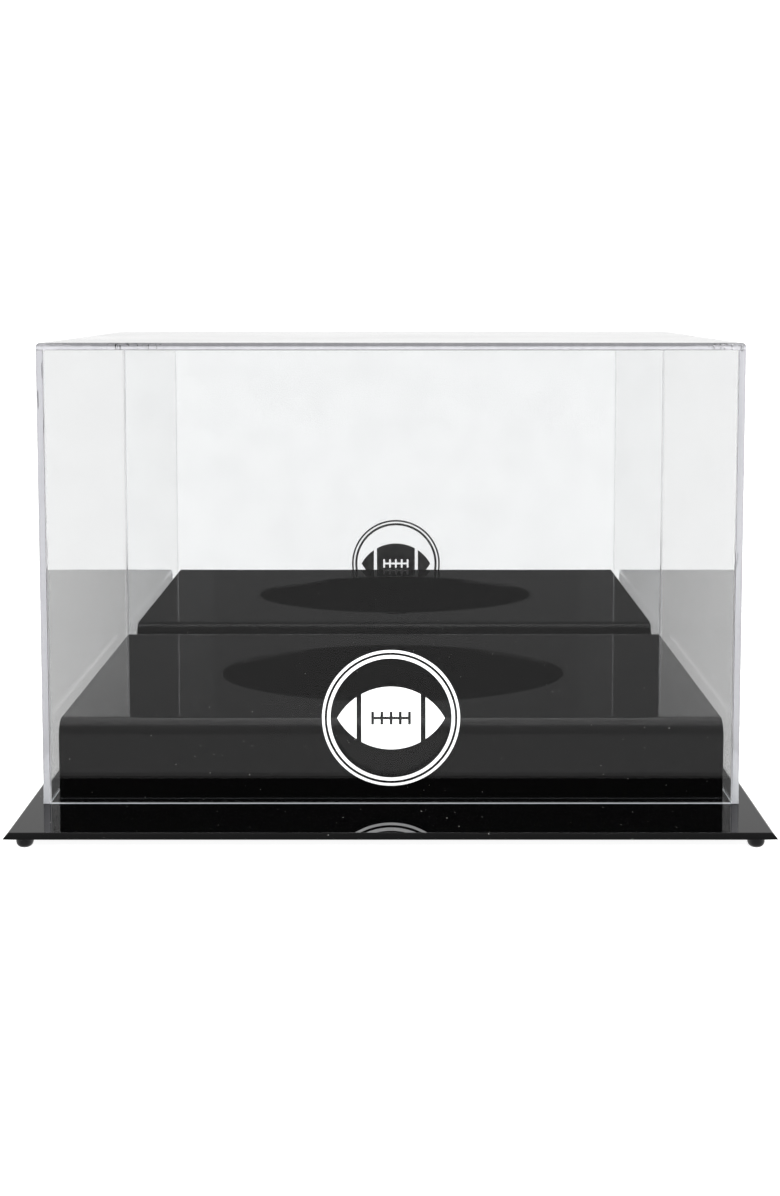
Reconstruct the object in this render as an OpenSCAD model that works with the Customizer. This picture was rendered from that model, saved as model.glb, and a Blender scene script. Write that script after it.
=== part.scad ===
// Football display case: a clear five-panel cover with a mirror back, which
// lifts off a black base plate that carries a bent riser with an oval cradle.
// Millimetres. +Z up, -Y is the front, the origin is on the resting surface
// under the centre of the base plate.

/* [Cover] */
// Outer width of the cover
cover_w = 317.5; // [312:0.5:360]
// Outer depth of the cover
cover_d = 222.25; // [214:0.25:260]
// Outer height of the cover
cover_h = 210.5; // [180:0.5:260]
// Thickness of the clear and mirrored sheet
sheet_t = 3.175; // [2:0.025:4]

/* [Base plate] */
// Flat top of the plate that shows beside the cover on each side
side_margin = 6.7; // [3:0.1:20]
// Flat top of the plate in front of the cover
front_ledge = 41; // [10:0.5:60]
// Flat top of the plate behind the cover
rear_margin = 6.7; // [3:0.1:20]
// Thickness of the plate
plate_t = 2.5; // [2:0.1:6]
// How far the bevelled edge of the plate flares out towards its underside
plate_flare = 2.25; // [0.5:0.05:3]

/* [Riser] */
// Width of the riser
riser_w = 304.8; // [280:0.1:305]
// Depth of the riser over both legs
riser_d = 203.2; // [180:0.1:206]
// Height of the riser's top above the plate
riser_h = 37.5; // [30:0.5:50]
// Thickness of the riser's sheet
riser_t = 2.5; // [2:0.1:4]
// Outer radius of the two bends
bend_r = 7.5; // [4.5:0.5:10]
// Gap between the riser's front leg and the cover's front panel
riser_front_gap = 2.7; // [1:0.1:5]

/* [Cradle] */
// Length of the oval cradle opening
cradle_l = 176; // [140:1:200]
// Width of the oval cradle opening
cradle_w = 132; // [110:1:140]
// Radius of the rounded ends of the oval
cradle_end_r = 50; // [40:1:52]

/* [Feet] */
// Diameter of a foot
foot_d = 7.5; // [6:0.5:14]
// Height of a foot
foot_h = 4.8; // [3:0.1:8]
// Diameter of the flat on which a foot rests
foot_flat_d = 2.2; // [2:0.1:5]
// Distance from a foot's centre to the side edge of the plate's underside
foot_inset_x = 8.7; // [5:0.1:30]
// Distance from a foot's centre to the front or rear edge of the underside
foot_inset_y = 6; // [5:0.1:30]

/* [Emblem] */
// Outer diameter of the printed emblem
emblem_d = 62.8; // [40:0.2:80]
// Height of the emblem's centre above the cover's bottom edge
emblem_z = 40; // [40:0.5:150]
// Thickness of the printed ink
ink_t = 0.15; // [0.1:0.05:0.3]

/* [Hidden] */
$fn = 128;
eps = 1;

plate_w = cover_w + 2 * side_margin;
plate_d = front_ledge + cover_d + rear_margin;
plate_top = foot_h + plate_t;
cover_front = -plate_d / 2 + front_ledge;
cover_back = cover_front + cover_d;
wall_h = cover_h - sheet_t;
riser_front = cover_front + sheet_t + riser_front_gap;
riser_mid = riser_front + riser_d / 2;
foot_x = plate_w / 2 + plate_flare - foot_inset_x;
foot_y = plate_d / 2 + plate_flare - foot_inset_y;

// Width of the emblem's lines and the clear gap between the two rings
outer_line = 1.2;
ring_gap = 1.1;
inner_line = 1.55;
// The football in the emblem: a lens between two arcs
ball_l = 49;
ball_h = 29;
ball_arc_r = (ball_l * ball_l + ball_h * ball_h) / (4 * ball_h);
stripe_w = 2.2;
stripe_x = 14.6;
seam_l = 18;
seam_w = 1.3;
stitch_h = 6;
stitch_w = 1.25;
stitches = 5;

// A plate whose four edges flare out downwards
module bevelled_plate(w, d, t, flare) {
    intersection() {
        rotate([90, 0, 0])
            linear_extrude(height = d + 2 * flare + 2 * eps, center = true)
                polygon([[-w / 2, t], [w / 2, t], [w / 2 + flare, 0], [-w / 2 - flare, 0]]);
        rotate([90, 0, 90])
            linear_extrude(height = w + 2 * flare + 2 * eps, center = true)
                polygon([[-d / 2, t], [d / 2, t], [d / 2 + flare, 0], [-d / 2 - flare, 0]]);
    }
}

// Oval outline of four tangent arcs
module oval(l, w, end_r) {
    a = l / 2;
    b = w / 2;
    c = a - end_r;
    side_r = (c * c + b * b - end_r * end_r) / (2 * (b - end_r));
    tangent_x = c * side_r / (side_r - end_r);
    intersection() {
        translate([0, b - side_r]) circle(r = side_r);
        translate([0, side_r - b]) circle(r = side_r);
        square([2 * tangent_x, w + 2 * eps], center = true);
    }
    for (s = [-1, 1]) translate([s * c, 0]) circle(r = end_r);
}

// Outline of the bent sheet seen from its end: two legs and a flat top
module riser_profile() {
    difference() {
        bent_outline(riser_d, riser_h, bend_r);
        translate([0, -eps])
            bent_outline(riser_d - 2 * riser_t, riser_h - riser_t + eps, bend_r - riser_t);
    }
}

// A rectangle standing on Y = 0 with rounded upper corners
module bent_outline(w, h, r) {
    translate([-w / 2, 0]) square([w, h - r]);
    translate([-w / 2 + r, h - r - eps]) square([w - 2 * r, r + eps]);
    for (s = [-1, 1]) translate([s * (w / 2 - r), h - r]) circle(r = r);
}

// Domed rubber bumper with a flat bottom
module foot(sx, sy) {
    color("#17181a")
        translate([sx * foot_x, sy * foot_y, 0])
            rotate_extrude()
                foot_profile();
}

module foot_profile() {
    r = foot_d / 2;
    flat_r = foot_flat_d / 2;
    dome = r - flat_r;
    translate([0, dome]) square([r, foot_h - dome]);
    square([flat_r, foot_h]);
    intersection() {
        translate([flat_r, dome]) circle(r = dome);
        translate([flat_r, 0]) square([dome, dome]);
    }
}

// A clear panel, given by its low corner and its size
module clear_panel(corner, size) {
    color([0.86, 0.92, 0.96, 0.35]) translate(corner) cube(size);
}

// Places a flat outline as ink on the outside of the front panel
module ink() {
    color("white")
        translate([0, cover_front, plate_top + emblem_z])
            rotate([90, 0, 0])
                linear_extrude(height = ink_t)
                    children();
}

module ring(d, line) {
    difference() {
        circle(d = d);
        circle(d = d - 2 * line);
    }
}

module base_plate() {
    color("#101113") translate([0, 0, foot_h]) bevelled_plate(plate_w, plate_d, plate_t, plate_flare);
}

module riser() {
    color("#141518")
        difference() {
            translate([0, riser_mid, plate_top])
                rotate([90, 0, 90])
                    linear_extrude(height = riser_w, center = true)
                        riser_profile();
            translate([0, riser_mid, plate_top + riser_h - 2 * riser_t])
                linear_extrude(height = 3 * riser_t)
                    oval(cradle_l, cradle_w, cradle_end_r);
        }
}

module cover_front_panel() {
    clear_panel([-cover_w / 2 + sheet_t, cover_front, plate_top], [cover_w - 2 * sheet_t, sheet_t, wall_h]);
}

module cover_left_panel() {
    clear_panel([-cover_w / 2, cover_front, plate_top], [sheet_t, cover_d, wall_h]);
}

module cover_right_panel() {
    clear_panel([cover_w / 2 - sheet_t, cover_front, plate_top], [sheet_t, cover_d, wall_h]);
}

module cover_top_panel() {
    clear_panel([-cover_w / 2, cover_front, plate_top + wall_h], [cover_w, cover_d, sheet_t]);
}

module cover_mirror_back() {
    color("silver")
        translate([-cover_w / 2 + sheet_t, cover_back - sheet_t, plate_top])
            cube([cover_w - 2 * sheet_t, sheet_t, wall_h]);
}

module emblem_outer_ring() {
    ink() ring(emblem_d, outer_line);
}

module emblem_inner_ring() {
    ink() ring(emblem_d - 2 * (outer_line + ring_gap), inner_line);
}

// A football with two stripes and a laced seam left clear in the ink
module emblem_football() {
    ink() difference() {
        intersection() {
            translate([0, ball_h / 2 - ball_arc_r]) circle(r = ball_arc_r);
            translate([0, ball_arc_r - ball_h / 2]) circle(r = ball_arc_r);
        }
        for (s = [-1, 1])
            translate([s * stripe_x, 0]) square([stripe_w, ball_h], center = true);
        square([seam_l, seam_w], center = true);
        for (i = [0:stitches - 1])
            translate([(i / (stitches - 1) - 0.5) * (seam_l - stitch_w), 0])
                square([stitch_w, stitch_h], center = true);
    }
}

base_plate();
riser();
foot(-1, -1);  // foot_front_left
foot(1, -1);  // foot_front_right
foot(-1, 1);  // foot_rear_left
foot(1, 1);  // foot_rear_right
cover_front_panel();
cover_left_panel();
cover_right_panel();
cover_top_panel();
cover_mirror_back();
emblem_outer_ring();
emblem_inner_ring();
emblem_football();
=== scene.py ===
"""Finish a packed football display case: clear cover, mirrored back, black base and printed emblem.

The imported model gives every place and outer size. The operators below make the finished pieces
around it, and one more makes a plain pale studio.
"""

import math

import bmesh
import bpy
from bpy.props import FloatProperty, FloatVectorProperty, IntProperty, PointerProperty
from bpy.types import Operator, Panel, PropertyGroup
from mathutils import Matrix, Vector


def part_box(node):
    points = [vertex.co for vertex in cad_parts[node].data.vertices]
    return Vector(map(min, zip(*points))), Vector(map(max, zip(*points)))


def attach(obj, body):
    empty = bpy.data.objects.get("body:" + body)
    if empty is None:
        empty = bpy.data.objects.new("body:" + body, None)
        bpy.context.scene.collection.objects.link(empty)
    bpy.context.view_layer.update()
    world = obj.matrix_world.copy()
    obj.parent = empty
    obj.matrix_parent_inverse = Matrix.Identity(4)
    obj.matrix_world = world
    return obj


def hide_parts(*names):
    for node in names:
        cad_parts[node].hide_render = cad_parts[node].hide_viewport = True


bl_info = {
    "name": "Football Display Case",
    "version": (1, 0, 0),
    "blender": (4, 5, 0),
    "location": "3D View > Sidebar > Display Case",
    "description": "Makes a football display case with a clear cover, a mirrored back and a black base",
    "category": "Add Mesh",
}

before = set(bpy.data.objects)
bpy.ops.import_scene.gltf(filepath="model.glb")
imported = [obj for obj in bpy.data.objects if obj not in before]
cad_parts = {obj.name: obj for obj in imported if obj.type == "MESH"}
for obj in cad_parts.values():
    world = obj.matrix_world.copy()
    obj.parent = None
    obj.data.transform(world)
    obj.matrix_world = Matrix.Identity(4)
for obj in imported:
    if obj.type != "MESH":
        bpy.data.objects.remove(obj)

MM = 0.001
ACRYLIC_IOR = 1.49
RUBBER_IOR = 1.5
PAINT_IOR = 1.45
INK_IOR = 1.5
# Faces of clear sheets that light passes on its way through the front to the mirror film and out again
MIRROR_PASSES = 6

# Steps round a bend and round one arc of the opening, and the strip that keeps the ends of a bend crisp
BEND_STEPS = 20
OPENING_STEPS = 22
BEND_SUPPORT = 0.3 * MM

# Where parts of the surround begin and end, as the sine of an angle ahead, across or up
BEHIND_CASE = (-0.1, 0.3)
TABLE_EDGE = (0.03, 0.09)
NEAR_TABLE_EDGE = (-0.26, -0.2)
BACKDROP_EDGE = (0.24, 0.29)
OVERHEAD_RISE = (0.35, 0.8)
OVERHEAD_FRONT = (-0.55, -0.15)
FLANK_EDGE = (0.5, 0.9)

# What counts as facing along an axis, and as a sharp edge in radians
FACING = 0.9
SHARP = 1.0

WHITE = (1.0, 1.0, 1.0, 1.0)
DUST = (0.62, 0.62, 0.6, 1.0)
FOOT_DUST = (0.09, 0.088, 0.085, 1.0)
FEET = ("foot_front_left", "foot_front_right", "foot_rear_left", "foot_rear_right")
EMBLEM = ("emblem_outer_ring", "emblem_inner_ring", "emblem_football")

PLATE_LOW, PLATE_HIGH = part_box("base_plate")
RISER_LOW, RISER_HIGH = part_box("riser")
FRONT_LOW, FRONT_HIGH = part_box("cover_front_panel")
LEFT_LOW, LEFT_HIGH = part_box("cover_left_panel")
RIGHT_LOW, RIGHT_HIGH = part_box("cover_right_panel")
TOP_LOW, TOP_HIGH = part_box("cover_top_panel")
BACK_LOW, BACK_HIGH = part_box("cover_mirror_back")
FOOT_LOW, FOOT_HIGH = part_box("foot_front_left")


# ---------------------------------------------------------------- node trees


class Signal:
    """One output of a node. Arithmetic on it adds Math nodes to its tree."""

    def __init__(self, tree, socket):
        self.tree = tree
        self.socket = socket

    def math(self, operation, *operands):
        """Add a Math node for an operation on these numbers or signals."""
        return self.tree.math(operation, *operands)

    def __add__(self, other):
        return self.math("ADD", self, other)

    def __radd__(self, other):
        return self.math("ADD", other, self)

    def __sub__(self, other):
        return self.math("SUBTRACT", self, other)

    def __rsub__(self, other):
        return self.math("SUBTRACT", other, self)

    def __mul__(self, other):
        return self.math("MULTIPLY", self, other)

    def __truediv__(self, other):
        return self.math("DIVIDE", self, other)

    def __abs__(self):
        return self.math("ABSOLUTE", self)

    def above(self, other):
        """1 where this is greater than other, else 0."""
        return self.math("GREATER_THAN", self, other)

    def below(self, other):
        """1 where this is less than other, else 0."""
        return self.math("LESS_THAN", self, other)

    def at_least(self, other):
        """The greater of this and other."""
        return self.math("MAXIMUM", self, other)

    def ease(self, start, end):
        """A smooth step from 0 at start to 1 at end, held outside them."""
        settings = {"interpolation_type": "SMOOTHSTEP"}
        inputs = {"Value": self, "From Min": start, "From Max": end}
        return self.tree.node("ShaderNodeMapRange", settings, inputs)

    def part(self, axis):
        """One coordinate of a vector, 0 for X, 1 for Y and 2 for Z."""
        return self.tree.node("ShaderNodeSeparateXYZ", {}, {"Vector": self}, output=axis)


class Tree:
    """Adds nodes to one shader or geometry tree."""

    def __init__(self, nodes_of):
        self.nodes_of = nodes_of

    def node(self, kind, settings=None, inputs=None, output=0):
        """Add a node of a type, set its settings, then its inputs, and return one of its outputs."""
        made = self.nodes_of.nodes.new(kind)
        for name, value in (settings or {}).items():
            setattr(made, name, value)
        for name, value in (inputs or {}).items():
            if isinstance(value, Signal):
                self.nodes_of.links.new(value.socket, made.inputs[name])
            else:
                made.inputs[name].default_value = value
        return Signal(self, made.outputs[output]) if made.outputs else made

    def math(self, operation, *operands):
        """Add a Math node for an operation on these numbers or signals."""
        return self.node("ShaderNodeMath", {"operation": operation}, dict(enumerate(operands)))

    def place(self, scale=(1.0, 1.0, 1.0), turn=(0.0, 0.0, 0.0)):
        """The point on the piece in metres, scaled and turned for a pattern."""
        point = self.node("ShaderNodeTexCoord", output="Object")
        return self.node("ShaderNodeMapping", {}, {"Vector": point, "Scale": scale, "Rotation": turn})

    def noise(self, place, scale, detail=2.0, roughness=0.5):
        """Soft noise from 0 to 1 with this many cells per metre."""
        inputs = {"Vector": place, "Scale": scale, "Detail": detail, "Roughness": roughness}
        return self.node("ShaderNodeTexNoise", {}, inputs)

    def mixed(self, share, first, second):
        """A colour between two colours."""
        inputs = {0: share, 6: first, 7: second}
        return self.node("ShaderNodeMix", {"data_type": "RGBA"}, inputs, output=2)

    def relief(self, height, distance, strength=1.0):
        """A normal that follows this height, where 1 stands for distance metres."""
        inputs = {"Height": height, "Distance": distance, "Strength": strength}
        return self.node("ShaderNodeBump", {}, inputs)

    def specks(self, cells, size, share):
        """Grains of dust: a share of this many cells per metre holds one, at most size of a cell wide."""
        place = self.place()
        inputs = {"Vector": place, "Scale": cells}
        distance = self.node("ShaderNodeTexVoronoi", {}, inputs)
        draw = self.node("ShaderNodeTexVoronoi", {}, inputs, output="Color").part(0)
        picked = draw.above(1.0 - share)
        radius = (draw - (1.0 - share)) * (size / share)
        return distance.below(radius) * picked

    def hairlines(self, turn, reach, density):
        """Fine straight scratches that run along one turned axis, thin as a hair."""
        place = self.place(turn=turn)
        inputs = {0: place, 1: (reach, density, density)}
        stretched = self.node("ShaderNodeVectorMath", {"operation": "MULTIPLY"}, inputs)
        lines = self.noise(stretched, 1.0, 1.0)
        return (1.0 - abs(lines - 0.5) * 90.0).at_least(0.0)

    def surface(self, shader):
        """Link a shader to the material's or world's own output."""
        self.nodes_of.links.new(shader.socket, self.output.inputs["Surface"])

    def group_inputs(self, kinds):
        """Name a geometry tree's inputs, each with its kind of socket, and return them as signals."""
        for name, kind in kinds.items():
            self.nodes_of.interface.new_socket(name, in_out="INPUT", socket_type=kind)
        given = self.nodes_of.nodes.new("NodeGroupInput")
        return {name: Signal(self, given.outputs[name]) for name in kinds}

    def finish_geometry(self, instances, material):
        """End a geometry tree: make its instances real and give them their material."""
        self.nodes_of.interface.new_socket("Geometry", in_out="OUTPUT", socket_type="NodeSocketGeometry")
        real = self.node("GeometryNodeRealizeInstances", {}, {"Geometry": instances})
        done = self.node("GeometryNodeSetMaterial", {}, {"Geometry": real, "Material": material})
        end = self.nodes_of.nodes.new("NodeGroupOutput")
        self.nodes_of.links.new(done.socket, end.inputs[0])


def new_material(name):
    """An empty material and the tree that builds it."""
    material = bpy.data.materials.new(name)
    material.use_nodes = True
    material.node_tree.nodes.clear()
    tree = Tree(material.node_tree)
    tree.output = material.node_tree.nodes.new("ShaderNodeOutputMaterial")
    return material, tree


# ---------------------------------------------------------------- finishes


def acrylic_shader(tree, colour):
    """Polished clear acrylic, with the slow waves of a cast sheet."""
    waves = tree.noise(tree.place(), 9.0, 1.0)
    inputs = {
        "Base Color": colour,
        "Roughness": 0.0,
        "IOR": ACRYLIC_IOR,
        "Transmission Weight": 1.0,
        "Normal": tree.relief(waves, 0.00004),
    }
    return tree.node("ShaderNodeBsdfPrincipled", {}, inputs)


def clear_acrylic(name, colour):
    """The open faces and polished edges of a clear sheet."""
    material, tree = new_material(name)
    tree.surface(acrylic_shader(tree, colour))
    return material


def cemented_acrylic(name, colour, painted_edge_light, voids):
    """A joint face fused by solvent, with long thin voids: clearer head-on, with a painted glow that
    stands in for the light along the joint and grows paler at a glance.
    """
    material, tree = new_material(name)
    along = tree.noise(tree.place(scale=(9.0, 9.0, 9.0)), 1.6, 1.0).ease(0.5, 0.56)
    across = tree.noise(tree.place(scale=(620.0, 620.0, 26.0)), 1.0, 2.0).below(voids)
    clear = tree.node("ShaderNodeBsdfTransparent")
    # Painted light: an emission glow in the joint light colour stands in for light that runs along the
    # joint.
    glow = {
        "Base Color": (*painted_edge_light, 1.0),
        "Roughness": 0.4,
        "Emission Color": (*painted_edge_light, 1.0),
        "Emission Strength": 0.6,
    }
    pale = tree.node("ShaderNodeBsdfPrincipled", {}, glow)
    # Painted sheen: the glow's share grows where the joint is seen at a glance.
    grazing = tree.node("ShaderNodeLayerWeight", {}, {"Blend": 0.5}, output="Facing").ease(0.6, 0.85)
    painted_light_share = 0.35 + grazing * 0.5
    fused = tree.node("ShaderNodeMixShader", {}, {0: painted_light_share, 1: clear, 2: pale})
    inputs = {0: along * across, 1: fused, 2: acrylic_shader(tree, colour)}
    tree.surface(tree.node("ShaderNodeMixShader", {}, inputs))
    return material


def sawn_acrylic(name, colour):
    """A sawn edge: frosted, with the fine lines of the saw across it, and a painted glow for the light it
    scatters.
    """
    material, tree = new_material(name)
    saw = tree.noise(tree.place(scale=(2400.0, 500.0, 500.0)), 1.0, 3.0)
    frost = tree.noise(tree.place(), 4000.0)
    inputs = {
        "Base Color": colour,
        "Roughness": 0.42 + frost * 0.2,
        "IOR": ACRYLIC_IOR,
        "Transmission Weight": 0.2,
        # Painted light: the emission makes the frosted edge glow, standing in for the light it scatters.
        "Emission Color": colour,
        "Emission Strength": 0.4,
        "Normal": tree.relief(saw, 0.00003),
    }
    tree.surface(tree.node("ShaderNodeBsdfPrincipled", {}, inputs))
    return material


def polished_edge(name, colour, clear_colour):
    """A polished edge with painted light: a pale colour stands in for the light that runs along the sheet,
    with streaks and solvent voids.
    """
    material, tree = new_material(name)
    streaks = tree.noise(tree.place(scale=(300.0, 40.0, 14.0)), 1.0, 3.0)
    # Painted light: the solid part's pale, streaked colour stands in for the light that runs along the
    # sheet.
    pale = tuple(min(1.0, 1.16 * part) for part in colour)
    glow = {
        "Base Color": tree.mixed(streaks.ease(0.3, 0.7), (*colour, 1.0), (*pale, 1.0)),
        "Roughness": 0.12 + streaks * 0.1,
        "IOR": ACRYLIC_IOR,
    }
    solid = tree.node("ShaderNodeBsdfPrincipled", {}, glow)
    voids = tree.noise(tree.place(scale=(1500.0, 1500.0, 40.0)), 1.0, 2.0).below(0.4)
    patches = tree.noise(tree.place(), 13.0, 1.0).ease(0.56, 0.62)
    clear_share = (0.25 + streaks * 0.1).at_least(voids * patches)
    inputs = {0: clear_share, 1: solid, 2: acrylic_shader(tree, clear_colour)}
    tree.surface(tree.node("ShaderNodeMixShader", {}, inputs))
    return material


def black_acrylic(name, colour, dust_share):
    """Deep gloss black acrylic with grains of dust, faint wiping haze and a few hairline scratches."""
    material, tree = new_material(name)
    dust = tree.specks(800.0, 0.24, dust_share)
    grit = tree.specks(1600.0, 0.26, dust_share)
    grains = dust.at_least(grit)
    haze = tree.noise(tree.place(scale=(1.0, 2.2, 1.0)), 17.0, 5.0, 0.6).ease(0.5, 0.85)
    scratch = tree.hairlines((0.0, 0.0, 0.62), 3.0, 260.0)
    scratched = scratch * tree.noise(tree.place(), 21.0).ease(0.6, 0.75)
    waves = tree.noise(tree.place(), 14.0, 1.0)
    inputs = {
        "Base Color": tree.mixed(grains, (*colour, 1.0), DUST),
        "Roughness": 0.012 + haze * 0.03 + scratched * 0.1 + grains * 0.5,
        "IOR": ACRYLIC_IOR,
        "Normal": tree.relief(waves, 0.000015),
    }
    tree.surface(tree.node("ShaderNodeBsdfPrincipled", {}, inputs))
    return material


def foot_rubber(name, colour):
    """Soft moulded rubber with a satin skin, fine pores and a little dust low down."""
    material, tree = new_material(name)
    pores = tree.noise(tree.place(), 2600.0, 3.0)
    height = tree.place().part(2)
    worn = 1.0 - height.ease(0.2 * MM, 1.4 * MM)
    inputs = {
        "Base Color": tree.mixed(worn * pores, (*colour, 1.0), FOOT_DUST),
        "Roughness": 0.28 + pores * 0.16,
        "IOR": RUBBER_IOR,
        "Normal": tree.relief(pores, 0.00005, 0.6),
    }
    tree.surface(tree.node("ShaderNodeBsdfPrincipled", {}, inputs))
    return material


def white_ink(name, colour):
    """Screen-printed ink: near matt, with the weave of the screen and slightly uneven cover."""
    material, tree = new_material(name)
    cover = tree.noise(tree.place(), 160.0, 3.0)
    weave_x = tree.math("SINE", tree.place().part(0) * 9000.0)
    weave_z = tree.math("SINE", tree.place().part(2) * 9000.0)
    inputs = {
        "Base Color": tree.mixed(cover.ease(0.3, 0.7), (*colour, 1.0), (0.9, 0.91, 0.92, 1.0)),
        "Roughness": 0.38 + cover * 0.2,
        "IOR": INK_IOR,
        "Normal": tree.relief(weave_x * weave_z, 0.00001, 0.5),
    }
    tree.surface(tree.node("ShaderNodeBsdfPrincipled", {}, inputs))
    return material


def mirror_coat(name, colour):
    """The silver film behind the mirrored sheet, with the slight waves of acrylic mirror."""
    material, tree = new_material(name)
    waves = tree.noise(tree.place(), 7.0, 1.0)
    cloud = tree.noise(tree.place(), 40.0, 3.0).ease(0.35, 0.75)
    inputs = {
        "Base Color": tree.mixed(cloud, (*colour, 1.0), (0.9, 0.905, 0.91, 1.0)),
        "Metallic": 1.0,
        "Roughness": 0.0,
        "Normal": tree.relief(waves, 0.00005),
    }
    tree.surface(tree.node("ShaderNodeBsdfPrincipled", {}, inputs))
    return material


def backing_paint(name, colour):
    """The grey paint that guards the silver film: matt, rolled on, a little uneven."""
    material, tree = new_material(name)
    orange_peel = tree.noise(tree.place(), 700.0, 3.0)
    blotch = tree.noise(tree.place(), 19.0, 5.0, 0.6)
    thin = tuple(0.86 * part for part in colour)
    thick = tuple(1.12 * part for part in colour)
    inputs = {
        "Base Color": tree.mixed(blotch, (*thin, 1.0), (*thick, 1.0)),
        "Roughness": 0.5 + orange_peel * 0.16,
        "IOR": PAINT_IOR,
        "Normal": tree.relief(orange_peel, 0.00006, 0.7),
    }
    tree.surface(tree.node("ShaderNodeBsdfPrincipled", {}, inputs))
    return material


# ---------------------------------------------------------------- mesh helpers


def mesh_from(shape, name):
    """Turn a bmesh into a mesh, and free the bmesh."""
    mesh = bpy.data.meshes.new(name)
    shape.to_mesh(mesh)
    shape.free()
    return mesh


def add_piece(name, mesh, materials):
    """Add a mesh to the scene as an object at the origin with these materials."""
    piece = bpy.data.objects.new(name, mesh)
    bpy.context.scene.collection.objects.link(piece)
    for material in materials:
        piece.data.materials.append(material)
    return piece


def settle(piece):
    """Turn a piece's modifiers into plain mesh."""
    evaluated = piece.evaluated_get(bpy.context.evaluated_depsgraph_get())
    mesh = bpy.data.meshes.new_from_object(evaluated)
    piece.modifiers.clear()
    piece.data = mesh
    mesh.name = piece.name
    return piece


def hand_over(piece, body, slot, *nodes):
    """Let a finished piece ride on its body and stand for its CAD nodes."""
    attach(piece, body)
    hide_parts(*nodes)


def soften(piece, width, segments, angle):
    """Add a small round to the edges sharper than an angle, and keep the faces between them flat."""
    piece.data.shade_smooth()
    bevel = piece.modifiers.new("Edge round", "BEVEL")
    bevel.width = width
    bevel.segments = segments
    bevel.limit_method = "ANGLE"
    bevel.angle_limit = angle
    flat = piece.modifiers.new("Flat faces", "WEIGHTED_NORMAL")
    flat.weight = 100


def shade(mesh, angle):
    """Smooth the faces that meet at less than an angle."""
    mesh.shade_smooth()
    mesh.set_sharp_from_angle(angle=angle)


# ---------------------------------------------------------------- sheets of the cover

CLEAR, CEMENTED, SAWN, POLISHED, ROUNDED = range(5)
X, Y = 0, 1


def sheet_mesh(name, low, high, cuts, finish_of, chamfer, top_round=0.0):
    """A sheet with chamfered edges. Cuts are (axis, place) lines where a neighbour's edge meets a face."""
    shape = bmesh.new()
    bmesh.ops.create_cube(shape, size=1.0)
    size = high - low
    middle = (low + high) / 2
    for vert in shape.verts:
        vert.co = Vector(middle[axis] + vert.co[axis] * size[axis] for axis in range(3))
    for axis, place in cuts:
        normal = Vector(1.0 if axis == other else 0.0 for other in range(3))
        everything = shape.verts[:] + shape.edges[:] + shape.faces[:]
        bmesh.ops.bisect_plane(shape, geom=everything, plane_co=normal * place, plane_no=normal)
    shape.normal_update()
    for face in shape.faces:
        face.material_index = finish_of(face.calc_center_median(), face.normal)
    if top_round:
        rim_height = high.z - chamfer
        rim = [edge for edge in sharp_edges(shape) if all(vert.co.z > rim_height for vert in edge.verts)]
        rounding = {"segments": 4, "profile": 0.5, "affect": "EDGES", "material": ROUNDED}
        bmesh.ops.bevel(shape, geom=rim, offset=top_round, **rounding)
        shape.normal_update()
    edges = sharp_edges(shape)
    bmesh.ops.bevel(shape, geom=edges, offset=chamfer, segments=1, affect="EDGES", material=CLEAR)
    return mesh_from(shape, name)


def sharp_edges(shape):
    """The edges where faces meet near a right angle."""
    return [edge for edge in shape.edges if edge.calc_face_angle(0.0) > SHARP]


def wall_finish(centre, normal):
    """A wall's face: sawn at the foot, cemented at the top and where another wall meets it."""
    if normal.z < -FACING:
        return SAWN
    if normal.z > FACING:
        return CEMENTED
    if abs(normal.x) < FACING:
        on_side = abs(centre.x) > RIGHT_LOW.x
        return POLISHED if on_side else CLEAR
    faces_out = normal.x * centre.x > 0.0
    butts_on_side = faces_out and abs(centre.x) < RIGHT_LOW.x
    under_neighbour = not faces_out and not FRONT_HIGH.y < centre.y < BACK_LOW.y
    return CEMENTED if butts_on_side or under_neighbour else CLEAR


def top_finish(centre, normal):
    """The top panel's face: cemented below, along the walls."""
    if abs(normal.z) < FACING:
        return POLISHED
    over_wall = abs(centre.x) > RIGHT_LOW.x or centre.y < FRONT_HIGH.y or centre.y > BACK_LOW.y
    return CEMENTED if normal.z < 0.0 and over_wall else CLEAR


def sheet_finishes(case):
    """The finishes of a clear sheet, in the order of the numbers above."""
    colour = (*case.acrylic_colour, 1.0)
    names = ("Clear acrylic", "Cemented joint", "Sawn edge", "Polished edge", "Rounded edge")
    if names[0] in bpy.data.materials:
        return [bpy.data.materials[name] for name in names]
    # The last four finishes hold painted light: glow on the joints and sawn feet, pale and dark colour on
    # the polished and rounded edges.
    return [
        clear_acrylic(names[0], colour),
        cemented_acrylic(names[1], colour, case.painted_joint_light, case.void_share),
        sawn_acrylic(names[2], (*case.sawn_frost_and_glow, 1.0)),
        polished_edge(names[3], case.painted_edge_light, colour),
        polished_edge(names[4], case.painted_round_shade, colour),
    ]


# ---------------------------------------------------------------- riser


def arc(centre, radius, start, end, steps):
    """Points on an arc, ends included, as (across, up) pairs. Angles turn from across towards up."""
    angles = [start + (end - start) * step / steps for step in range(steps + 1)]
    return [(centre[0] + radius * math.cos(a), centre[1] + radius * math.sin(a)) for a in angles]


def opening_outline(length, width, end_radius, steps):
    """Half of the cradle opening as (x, half width) pairs from one tip to the other."""
    half_length, half_width = length / 2, width / 2
    reach = half_length - end_radius
    side_radius = (reach**2 + half_width**2 - end_radius**2) / (2 * (half_width - end_radius))
    drop = side_radius - half_width
    meet = math.atan2(drop, reach)
    end = arc((reach, 0.0), end_radius, 0.0, meet, steps)
    side = arc((0.0, -drop), side_radius, meet, math.pi / 2, steps)
    quarter = end + side[1:]
    return [(-x, half) for x, half in quarter] + [(x, half) for x, half in reversed(quarter[:-1])]


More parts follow.
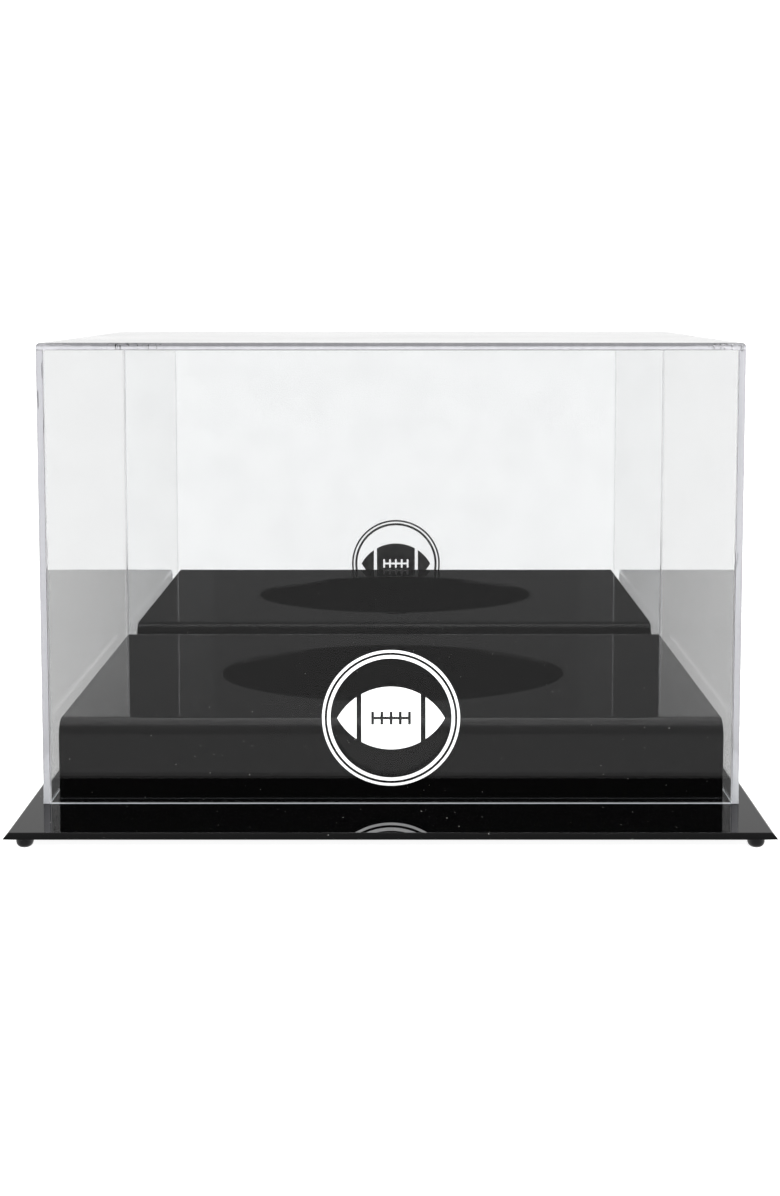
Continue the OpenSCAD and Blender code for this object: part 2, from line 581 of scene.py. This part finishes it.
def riser_mesh(case):
    """The outer skin of the bent sheet, with its opening, as strips between stations along X."""
    bend = case.bend_radius
    front, back = RISER_LOW.y, RISER_HIGH.y
    foot, top = RISER_LOW.z, RISER_HIGH.z
    front_bend = arc((front + bend, top - bend), bend, math.pi, math.pi / 2, BEND_STEPS)
    back_bend = arc((back - bend, top - bend), bend, math.pi / 2, 0.0, BEND_STEPS)
    reach = bend + BEND_SUPPORT
    rise = [(front, foot), (front, top - reach), *front_bend, (front + reach, top)]
    fall = [(back - reach, top), *back_bend, (back, top - reach), (back, foot)]
    length, width, end_radius = case.opening_length, case.opening_width, case.opening_end_radius
    outline = opening_outline(length, width, end_radius, OPENING_STEPS)
    outer = RISER_HIGH.x
    stations = [(-outer, 0.0), *outline, (outer, 0.0)]
    middle = (front + back) / 2
    shape = bmesh.new()
    rows = []
    for x, half in stations:
        near = [shape.verts.new((x, y, z)) for y, z in rise]
        near.append(shape.verts.new((x, middle - half, top)))
        far = [near[-1] if half < 1e-6 else shape.verts.new((x, middle + half, top))]
        far += [shape.verts.new((x, y, z)) for y, z in fall]
        rows.append((near, far))
    for (near, far), (next_near, next_far) in zip(rows, rows[1:]):
        for line, next_line in ((near, next_near), (far, next_far)):
            for one, two, three, four in zip(line, next_line, next_line[1:], line[1:]):
                corners = list(dict.fromkeys((one, two, three, four)))
                shape.faces.new(corners)
    shape.normal_update()
    return mesh_from(shape, "riser_body")


# ---------------------------------------------------------------- properties


class DisplayCaseProperties(PropertyGroup):
    """Sizes and colours that the frame doesn't hold."""

    acrylic_colour: FloatVectorProperty(
        name="Acrylic",
        description="Tint of the clear sheets",
        subtype="COLOR",
        default=(0.985, 0.987, 0.987),
    )
    black_colour: FloatVectorProperty(
        name="Black",
        description="Body colour of the black acrylic",
        subtype="COLOR",
        default=(0.0008, 0.0008, 0.0009),
    )
    rubber_colour: FloatVectorProperty(
        name="Rubber", description="Colour of the feet", subtype="COLOR", default=(0.006, 0.006, 0.0065)
    )
    ink_colour: FloatVectorProperty(
        name="Ink",
        description="Colour of the printed emblem",
        subtype="COLOR",
        default=(0.95, 0.95, 0.95),
    )
    silver_colour: FloatVectorProperty(
        name="Silver",
        description="Colour of the mirror film",
        subtype="COLOR",
        default=(0.93, 0.935, 0.94),
    )
    paint_colour: FloatVectorProperty(
        name="Backing", description="Paint behind the mirror", subtype="COLOR", default=(0.2, 0.205, 0.21)
    )
    # Painted light: a pale grey that stands in for the light seen in a polished edge.
    painted_edge_light: FloatVectorProperty(
        name="Edge",
        description="Pale light of a polished edge",
        subtype="COLOR",
        default=(0.37, 0.37, 0.39),
    )
    # Painted light: the colour of the glow painted on a cemented joint.
    painted_joint_light: FloatVectorProperty(
        name="Joint light",
        description="Pale light along a cemented joint",
        subtype="COLOR",
        default=(0.8, 0.8, 0.82),
    )
    # The frosted colour of the sawn foot, also used as its painted glow.
    sawn_frost_and_glow: FloatVectorProperty(
        name="Sawn edge",
        description="Frosted foot of the walls",
        subtype="COLOR",
        default=(0.9, 0.94, 0.97),
    )
    # Painted shade: a dark grey stands in for the dim band that the round on the top sheet shows.
    painted_round_shade: FloatVectorProperty(
        name="Rounded edge",
        description="Light of the round on the top sheet",
        subtype="COLOR",
        default=(0.18, 0.18, 0.19),
    )
    chamfer: FloatProperty(
        name="Sheet chamfer", description="Broken edge of a clear sheet", default=0.12 * MM, unit="LENGTH"
    )
    top_round: FloatProperty(
        name="Top round",
        description="Round on the top sheet's upper edges",
        default=1.6 * MM,
        unit="LENGTH",
    )
    joint_gap: FloatProperty(
        name="Joint", description="Thickness of a cemented joint", default=0.02 * MM, unit="LENGTH"
    )
    rest_gap: FloatProperty(
        name="Rest", description="Air under the lifted-off cover's foot", default=0.04 * MM, unit="LENGTH"
    )
    void_share: FloatProperty(
        name="Voids",
        description="How wide the voids in a cemented joint are",
        default=0.42,
        min=0.0,
        max=1.0,
    )
    film_thickness: FloatProperty(
        name="Film", description="Silver and paint behind the mirror", default=0.12 * MM, unit="LENGTH"
    )
    plate_flare: FloatProperty(
        name="Plate flare",
        description="How far the plate's edge slopes out",
        default=2.25 * MM,
        unit="LENGTH",
    )
    plate_round: FloatProperty(
        name="Plate round", description="Round on the plate's edges", default=0.2 * MM, unit="LENGTH"
    )
    bend_radius: FloatProperty(
        name="Riser bend",
        description="Outside radius of the riser's bends",
        default=7.5 * MM,
        unit="LENGTH",
    )
    riser_sheet: FloatProperty(
        name="Riser sheet", description="Thickness of the riser's sheet", default=2.5 * MM, unit="LENGTH"
    )
    riser_round: FloatProperty(
        name="Riser round", description="Round on the riser's cut edges", default=0.3 * MM, unit="LENGTH"
    )
    opening_length: FloatProperty(
        name="Opening length",
        description="Length of the cradle opening",
        default=176.0 * MM,
        unit="LENGTH",
    )
    opening_width: FloatProperty(
        name="Opening width", description="Width of the cradle opening", default=132.0 * MM, unit="LENGTH"
    )
    opening_end_radius: FloatProperty(
        name="Opening ends", description="Radius of the opening's ends", default=50.0 * MM, unit="LENGTH"
    )
    foot_flat: FloatProperty(
        name="Foot flat", description="Width of the flat under a foot", default=2.2 * MM, unit="LENGTH"
    )
    foot_sides: IntProperty(name="Foot sides", description="Steps round a foot", default=48, min=12)


class DisplayCaseStudio(PropertyGroup):
    """The camera and the light."""

    camera_distance: FloatProperty(
        name="Distance", description="Camera in front of the origin", default=0.848, unit="LENGTH"
    )
    camera_height: FloatProperty(
        name="Height", description="Camera above the floor", default=0.24, unit="LENGTH"
    )
    camera_side: FloatProperty(
        name="Side", description="Camera to the right of the middle", default=6.05 * MM, unit="LENGTH"
    )
    camera_pitch: FloatProperty(
        name="Pitch", description="How far the camera looks down", default=0.0835, unit="ROTATION"
    )
    lens: FloatProperty(name="Lens", description="Focal length in millimetres", default=50.78)
    shift: FloatVectorProperty(
        name="Shift", description="Lens shift across and up", size=2, default=(-0.012, -0.137)
    )
    seen_level: FloatProperty(
        name="Surround", description="Brightness of the surround where it is seen directly", default=1.25
    )
    backdrop_level: FloatProperty(
        name="Backdrop", description="Brightness of the backdrop in reflections", default=0.98
    )
    upper_backdrop_level: FloatProperty(
        name="Upper backdrop", description="Brightness above the backdrop's edge", default=0.58
    )
    table_level: FloatProperty(
        name="Table", description="Brightness of the far table in front, in the mirror", default=1.2
    )
    near_table_level: FloatProperty(
        name="Near table",
        description="Brightness of the near table, and of all of it outside the mirror",
        default=0.3,
    )
    dim_level: FloatProperty(
        name="Room", description="Brightness of the dim room behind the camera", default=0.08
    )
    overhead_level: FloatProperty(
        name="Overhead", description="Brightness of the soft light overhead", default=0.95
    )
    flank_level: FloatProperty(
        name="Flanks", description="Brightness of the room to the left and right", default=0.6
    )
    matt_gain: FloatProperty(
        name="Matt gain", description="Extra light that the surround gives to matt surfaces", default=0.7
    )
    floor_radius: FloatProperty(
        name="Floor radius", description="Size of the floor", default=9.0, unit="LENGTH"
    )
    floor_colour: FloatVectorProperty(
        name="Floor", description="Colour of the floor", subtype="COLOR", default=(0.9, 0.9, 0.9)
    )
    floor_glow: FloatProperty(
        name="Floor glow", description="Light that the floor gives back like a light table", default=1.0
    )
    key_size: FloatProperty(
        name="Key size", description="Width of the front light", default=1.0, unit="LENGTH"
    )
    key_place: FloatVectorProperty(
        name="Key place",
        description="Where the front light stands",
        subtype="XYZ",
        default=(0.3, -1.5, 1.3),
    )
    key_target: FloatVectorProperty(
        name="Key target",
        description="What the front light faces",
        subtype="XYZ",
        default=(0.0, 0.0, 0.08),
    )
    key_power: FloatProperty(
        name="Key power", description="Power of the front light", default=46.0, unit="POWER"
    )


# ---------------------------------------------------------------- operators


class DISPLAYCASE_OT_base_plate(Operator):
    """Make the black plate with its sloping polished edge."""

    bl_idname = "display_case.base_plate"
    bl_label = "Base Plate"

    def execute(self, context):
        case = context.scene.display_case
        shape = bmesh.new()
        rings = []
        for height, inset in ((PLATE_LOW.z, 0.0), (PLATE_HIGH.z, case.plate_flare)):
            left, right = PLATE_LOW.x + inset, PLATE_HIGH.x - inset
            front, back = PLATE_LOW.y + inset, PLATE_HIGH.y - inset
            corners = ((left, front), (right, front), (right, back), (left, back))
            rings.append([shape.verts.new((x, y, height)) for x, y in corners])
        low, high = rings
        shape.faces.new(reversed(low))
        shape.faces.new(high)
        for here in range(4):
            there = (here + 1) % 4
            shape.faces.new((low[here], low[there], high[there], high[here]))
        shape.normal_update()
        black = black_acrylic("Black acrylic plate", case.black_colour, dust_share=0.004)
        plate = add_piece("base_plate_body", mesh_from(shape, "base_plate_body"), [black])
        soften(plate, case.plate_round, segments=3, angle=math.radians(30))
        settle(plate)
        hand_over(plate, "base", "black_acrylic", "base_plate")
        return {"FINISHED"}


class DISPLAYCASE_OT_riser(Operator):
    """Make the bent riser with its oval cradle opening."""

    bl_idname = "display_case.riser"
    bl_label = "Riser"

    def execute(self, context):
        case = context.scene.display_case
        black = black_acrylic("Black acrylic riser", case.black_colour, dust_share=0.009)
        riser = add_piece("riser_body", riser_mesh(case), [black])
        sheet = riser.modifiers.new("Sheet", "SOLIDIFY")
        sheet.thickness = case.riser_sheet
        sheet.offset = -1.0
        sheet.use_even_offset = True
        soften(riser, case.riser_round, segments=3, angle=math.radians(60))
        settle(riser)
        hand_over(riser, "base", "black_acrylic_riser", "riser")
        return {"FINISHED"}


class DISPLAYCASE_OT_feet(Operator):
    """Make the four domed rubber feet, one at each corner of the plate."""

    bl_idname = "display_case.feet"
    bl_label = "Rubber Feet"

    def execute(self, context):
        case = context.scene.display_case
        raise_if_missing(FEET)
        feet = add_piece("rubber_feet", bpy.data.meshes.new("rubber_feet"), [])
        tree = feet_tree(foot_rubber("Foot rubber", case.rubber_colour))
        maker = feet.modifiers.new("Feet", "NODES")
        maker.node_group = tree
        far_low, far_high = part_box("foot_rear_right")
        sizes = {
            "Spacing X": far_low.x - FOOT_LOW.x,
            "Spacing Y": far_low.y - FOOT_LOW.y,
            "Middle": (FOOT_LOW + far_high) / 2 * Vector((1.0, 1.0, 0.0)),
            "Diameter": FOOT_HIGH.x - FOOT_LOW.x,
            "Flat": case.foot_flat,
            "Height": FOOT_HIGH.z - FOOT_LOW.z,
            "Sides": case.foot_sides,
        }
        give_sizes(maker, sizes)
        settle(feet)
        shade(feet.data, angle=math.radians(50))
        hand_over(feet, "base", "foot_rubber", *FEET)
        return {"FINISHED"}


class DISPLAYCASE_OT_clear_sheets(Operator):
    """Make the front, side and top sheets of the cover, with their cemented joints."""

    bl_idname = "display_case.clear_sheets"
    bl_label = "Clear Sheets"

    def execute(self, context):
        case = context.scene.display_case
        finishes = sheet_finishes(case)
        joint = case.joint_gap
        seams = [(Y, FRONT_HIGH.y), (Y, BACK_LOW.y)]
        sides_down = Vector((0.0, 0.0, -joint))
        foot = Vector((0.0, 0.0, case.rest_gap))
        between = Vector((joint, 0.0, 0.0))
        front_low = FRONT_LOW + foot + between
        front_high = FRONT_HIGH + sides_down - between
        walls = (
            ("front_sheet", "cover_front_panel", front_low, front_high, []),
            ("left_sheet", "cover_left_panel", LEFT_LOW + foot, LEFT_HIGH + sides_down, seams),
            ("right_sheet", "cover_right_panel", RIGHT_LOW + foot, RIGHT_HIGH + sides_down, seams),
        )
        for name, node, low, high, cuts in walls:
            mesh = sheet_mesh(name, low, high, cuts, wall_finish, case.chamfer)
            hand_over(add_piece(name, mesh, finishes), "cover", "clear_acrylic", node)
        cuts = [*seams, (X, LEFT_HIGH.x), (X, RIGHT_LOW.x)]
        mesh = sheet_mesh("top_sheet", TOP_LOW, TOP_HIGH, cuts, top_finish, case.chamfer, case.top_round)
        hand_over(add_piece("top_sheet", mesh, finishes), "cover", "clear_acrylic", "cover_top_panel")
        return {"FINISHED"}


class DISPLAYCASE_OT_mirror_back(Operator):
    """Make the mirrored back: a clear sheet with a silver film and grey paint behind it."""

    bl_idname = "display_case.mirror_back"
    bl_label = "Mirror Back"

    def execute(self, context):
        case = context.scene.display_case
        joint = case.joint_gap
        low = BACK_LOW + Vector((joint, 0.0, case.rest_gap))
        high = BACK_HIGH - Vector((joint, case.film_thickness + joint, joint))
        mesh = sheet_mesh("mirror_back", low, high, [], wall_finish, case.chamfer)
        silver = mirror_coat("Mirror film", case.silver_colour)
        paint = backing_paint("Backing paint", case.paint_colour)
        piece = add_piece("mirror_back", mesh, [*sheet_finishes(case), silver, paint])
        film_low = Vector((low.x, high.y + joint, low.z))
        film_high = Vector((high.x, BACK_HIGH.y, high.z))
        silver_index, paint_index = ROUNDED + 1, ROUNDED + 2

        def film_finish(_centre, normal):
            """Silver on the side against the sheet, paint on the others."""
            return silver_index if normal.y < -FACING else paint_index

        film = sheet_mesh("mirror_film", film_low, film_high, [], film_finish, case.film_thickness / 4)
        shape = bmesh.new()
        shape.from_mesh(mesh)
        shape.from_mesh(film)
        shape.to_mesh(mesh)
        shape.free()
        bpy.data.meshes.remove(film)
        hand_over(piece, "cover", "mirror_acrylic", "cover_mirror_back")
        return {"FINISHED"}


class DISPLAYCASE_OT_emblem(Operator):
    """Give the printed emblem its ink."""

    bl_idname = "display_case.emblem"
    bl_label = "Printed Emblem"

    def execute(self, context):
        case = context.scene.display_case
        ink = white_ink("White ink", case.ink_colour)
        for name in EMBLEM:
            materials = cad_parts[name].data.materials
            materials.clear()
            materials.append(ink)
        return {"FINISHED"}


class DISPLAYCASE_OT_studio(Operator):
    """Make the pale floor, the soft light and the camera."""

    bl_idname = "display_case.studio"
    bl_label = "Studio"

    def execute(self, context):
        studio = context.scene.display_case_studio
        make_floor(studio)
        make_surround(studio)
        make_lights(studio)
        make_camera(studio)
        context.scene.view_settings.view_transform = "Standard"
        return {"FINISHED"}


# ---------------------------------------------------------------- feet by geometry nodes


def raise_if_missing(names):
    """Stop the script if the frame lacks one of these nodes."""
    missing = [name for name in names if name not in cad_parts]
    if missing:
        raise RuntimeError(f"the frame has no node named {missing}")


def give_sizes(maker, sizes):
    """Set a geometry nodes modifier's inputs by their socket identifiers."""
    for item in maker.node_group.interface.items_tree:
        if item.item_type == "SOCKET" and item.in_out == "INPUT" and item.name in sizes:
            maker[item.identifier] = sizes[item.name]


def feet_tree(rubber):
    """A tree that rounds a cylinder into a domed foot and repeats it at the plate's corners."""
    group = bpy.data.node_groups.new("Rubber feet", "GeometryNodeTree")
    tree = Tree(group)
    size = tree.group_inputs(
        {
            "Spacing X": "NodeSocketFloat",
            "Spacing Y": "NodeSocketFloat",
            "Middle": "NodeSocketVector",
            "Diameter": "NodeSocketFloat",
            "Flat": "NodeSocketFloat",
            "Height": "NodeSocketFloat",
            "Sides": "NodeSocketInt",
        }
    )
    rings = 14
    flat = size["Flat"] * 0.5
    dome = size["Diameter"] * 0.5 - flat
    drum = {"Vertices": size["Sides"], "Side Segments": rings, "Radius": 1.0, "Depth": 1.0}
    foot = tree.node("GeometryNodeMeshCylinder", {"fill_type": "NGON"}, drum)
    place = tree.node("GeometryNodeInputPosition")
    ring = (place.part(2) + 0.5) * rings
    turn = tree.math("MINIMUM", ring / (rings - 1.0), 1.0) * (math.pi / 2)
    straight = (ring - (rings - 1.0)).at_least(0.0)
    radius = flat + dome * tree.math("SINE", turn)
    height = dome * (1.0 - tree.math("COSINE", turn)) + straight * (size["Height"] - dome)
    point = {0: place.part(0) * radius, 1: place.part(1) * radius, 2: height}
    domed = tree.node("ShaderNodeCombineXYZ", {}, point)
    foot = tree.node("GeometryNodeSetPosition", {}, {"Geometry": foot, "Position": domed})
    spacing = {"Size X": size["Spacing X"], "Size Y": size["Spacing Y"], "Vertices X": 2, "Vertices Y": 2}
    corners = tree.node("GeometryNodeMeshGrid", {}, spacing)
    corners = tree.node("GeometryNodeSetPosition", {}, {"Geometry": corners, "Offset": size["Middle"]})
    feet = tree.node("GeometryNodeInstanceOnPoints", {}, {"Points": corners, "Instance": foot})
    tree.finish_geometry(feet, rubber)
    return group


# ---------------------------------------------------------------- studio


def make_floor(studio):
    """A wide round floor, pale and plain, that gives some light of its own."""
    shape = bmesh.new()
    bmesh.ops.create_circle(shape, cap_ends=True, segments=96, radius=studio.floor_radius)
    floor = add_piece("floor", mesh_from(shape, "floor"), [])
    material, tree = new_material("Pale floor")
    colour = (*studio.floor_colour, 1.0)
    inputs = {
        "Base Color": colour,
        "Roughness": 0.9,
        "Specular IOR Level": 0.1,
        "Emission Color": colour,
        "Emission Strength": studio.floor_glow,
    }
    tree.surface(tree.node("ShaderNodeBsdfPrincipled", {}, inputs))
    floor.data.materials.append(material)
    floor.visible_glossy = False
    floor.visible_transmission = False


def make_surround(studio):
    """White above, beside and behind the case, dim behind the camera, and with a table in front."""
    world = bpy.data.worlds.new("Studio")
    world.use_nodes = True
    world.node_tree.nodes.clear()
    tree = Tree(world.node_tree)
    tree.output = world.node_tree.nodes.new("ShaderNodeOutputWorld")
    direction = tree.node("ShaderNodeTexCoord", output="Generated")
    across, ahead, up = (direction.part(axis) for axis in range(3))
    behind = ahead.ease(*BEHIND_CASE)
    backdrop = behind * (1.0 - up.ease(*BACKDROP_EDGE)) * studio.backdrop_level
    upper_backdrop = behind * studio.upper_backdrop_level
    passes = tree.node("ShaderNodeLightPath", output="Transmission Depth")
    in_mirror = passes.above(MIRROR_PASSES - 0.5)
    far_in_mirror = in_mirror * up.ease(*NEAR_TABLE_EDGE)
    extra = studio.table_level - studio.near_table_level
    table_level = studio.near_table_level + far_in_mirror * extra
    table = (1.0 - behind) * (1.0 - up.ease(*TABLE_EDGE)) * table_level
    overhead = up.ease(*OVERHEAD_RISE) * ahead.ease(*OVERHEAD_FRONT) * studio.overhead_level
    flank = abs(across).ease(*FLANK_EDGE) * studio.flank_level
    level = table.at_least(backdrop).at_least(upper_backdrop)
    level = level.at_least(overhead).at_least(flank).at_least(studio.dim_level)
    seen = tree.node("ShaderNodeLightPath", output="Is Camera Ray")
    on_matt = tree.node("ShaderNodeLightPath", output="Diffuse Depth").above(0.5)
    level = level * (1.0 + on_matt * studio.matt_gain)
    level = level + seen * (studio.seen_level - level)
    tree.surface(tree.node("ShaderNodeBackground", {}, {"Color": WHITE, "Strength": level}))
    bpy.context.scene.world = world


def add_area_light(name, power, size, place, target):
    """A square soft light at a place, facing a target."""
    light = bpy.data.lights.new(name, "AREA")
    light.energy = power
    light.size = size
    lamp = bpy.data.objects.new(name, light)
    lamp.location = place
    lamp.rotation_euler = (Vector(target) - Vector(place)).to_track_quat("-Z", "Y").to_euler()
    lamp.visible_glossy = False
    lamp.visible_transmission = False
    bpy.context.scene.collection.objects.link(lamp)


def make_lights(studio):
    """One soft light in front and above."""
    add_area_light("key", studio.key_power, studio.key_size, studio.key_place, studio.key_target)


def make_camera(studio):
    """The camera in front, a little above the case, looking slightly down."""
    lens = bpy.data.cameras.new("camera")
    lens.lens = studio.lens
    lens.shift_x, lens.shift_y = studio.shift
    lens.clip_start, lens.clip_end = 0.01, 50.0
    camera = bpy.data.objects.new("camera", lens)
    camera.location = (studio.camera_side, -studio.camera_distance, studio.camera_height)
    camera.rotation_euler = (math.pi / 2 - studio.camera_pitch, 0.0, 0.0)
    bpy.context.scene.collection.objects.link(camera)
    bpy.context.scene.camera = camera


# ---------------------------------------------------------------- add-on


class DISPLAYCASE_PT_sidebar(Panel):
    """The display case's makers and sizes in the sidebar."""

    bl_idname = "DISPLAYCASE_PT_sidebar"
    bl_label = "Display Case"
    bl_space_type = "VIEW_3D"
    bl_region_type = "UI"
    bl_category = "Display Case"

    def draw(self, context):
        layout = self.layout
        for maker in MAKERS:
            layout.operator(maker.bl_idname)
        for group in (context.scene.display_case, context.scene.display_case_studio):
            column = layout.column()
            for name in group.__annotations__:
                column.prop(group, name)


MAKERS = (
    DISPLAYCASE_OT_studio,
    DISPLAYCASE_OT_base_plate,
    DISPLAYCASE_OT_riser,
    DISPLAYCASE_OT_feet,
    DISPLAYCASE_OT_clear_sheets,
    DISPLAYCASE_OT_mirror_back,
    DISPLAYCASE_OT_emblem,
)
CLASSES = (DisplayCaseProperties, DisplayCaseStudio, *MAKERS, DISPLAYCASE_PT_sidebar)


def register():
    """Add the classes and their settings."""
    for cls in CLASSES:
        bpy.utils.register_class(cls)
    bpy.types.Scene.display_case = PointerProperty(type=DisplayCaseProperties)
    bpy.types.Scene.display_case_studio = PointerProperty(type=DisplayCaseStudio)


def unregister():
    """Remove the classes and their settings."""
    del bpy.types.Scene.display_case_studio
    del bpy.types.Scene.display_case
    for cls in reversed(CLASSES):
        bpy.utils.unregister_class(cls)


def main():
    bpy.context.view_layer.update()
    register()
    for maker in MAKERS:
        group, name = maker.bl_idname.split(".")
        getattr(getattr(bpy.ops, group), name)()


if __name__ == "__main__":
    main()
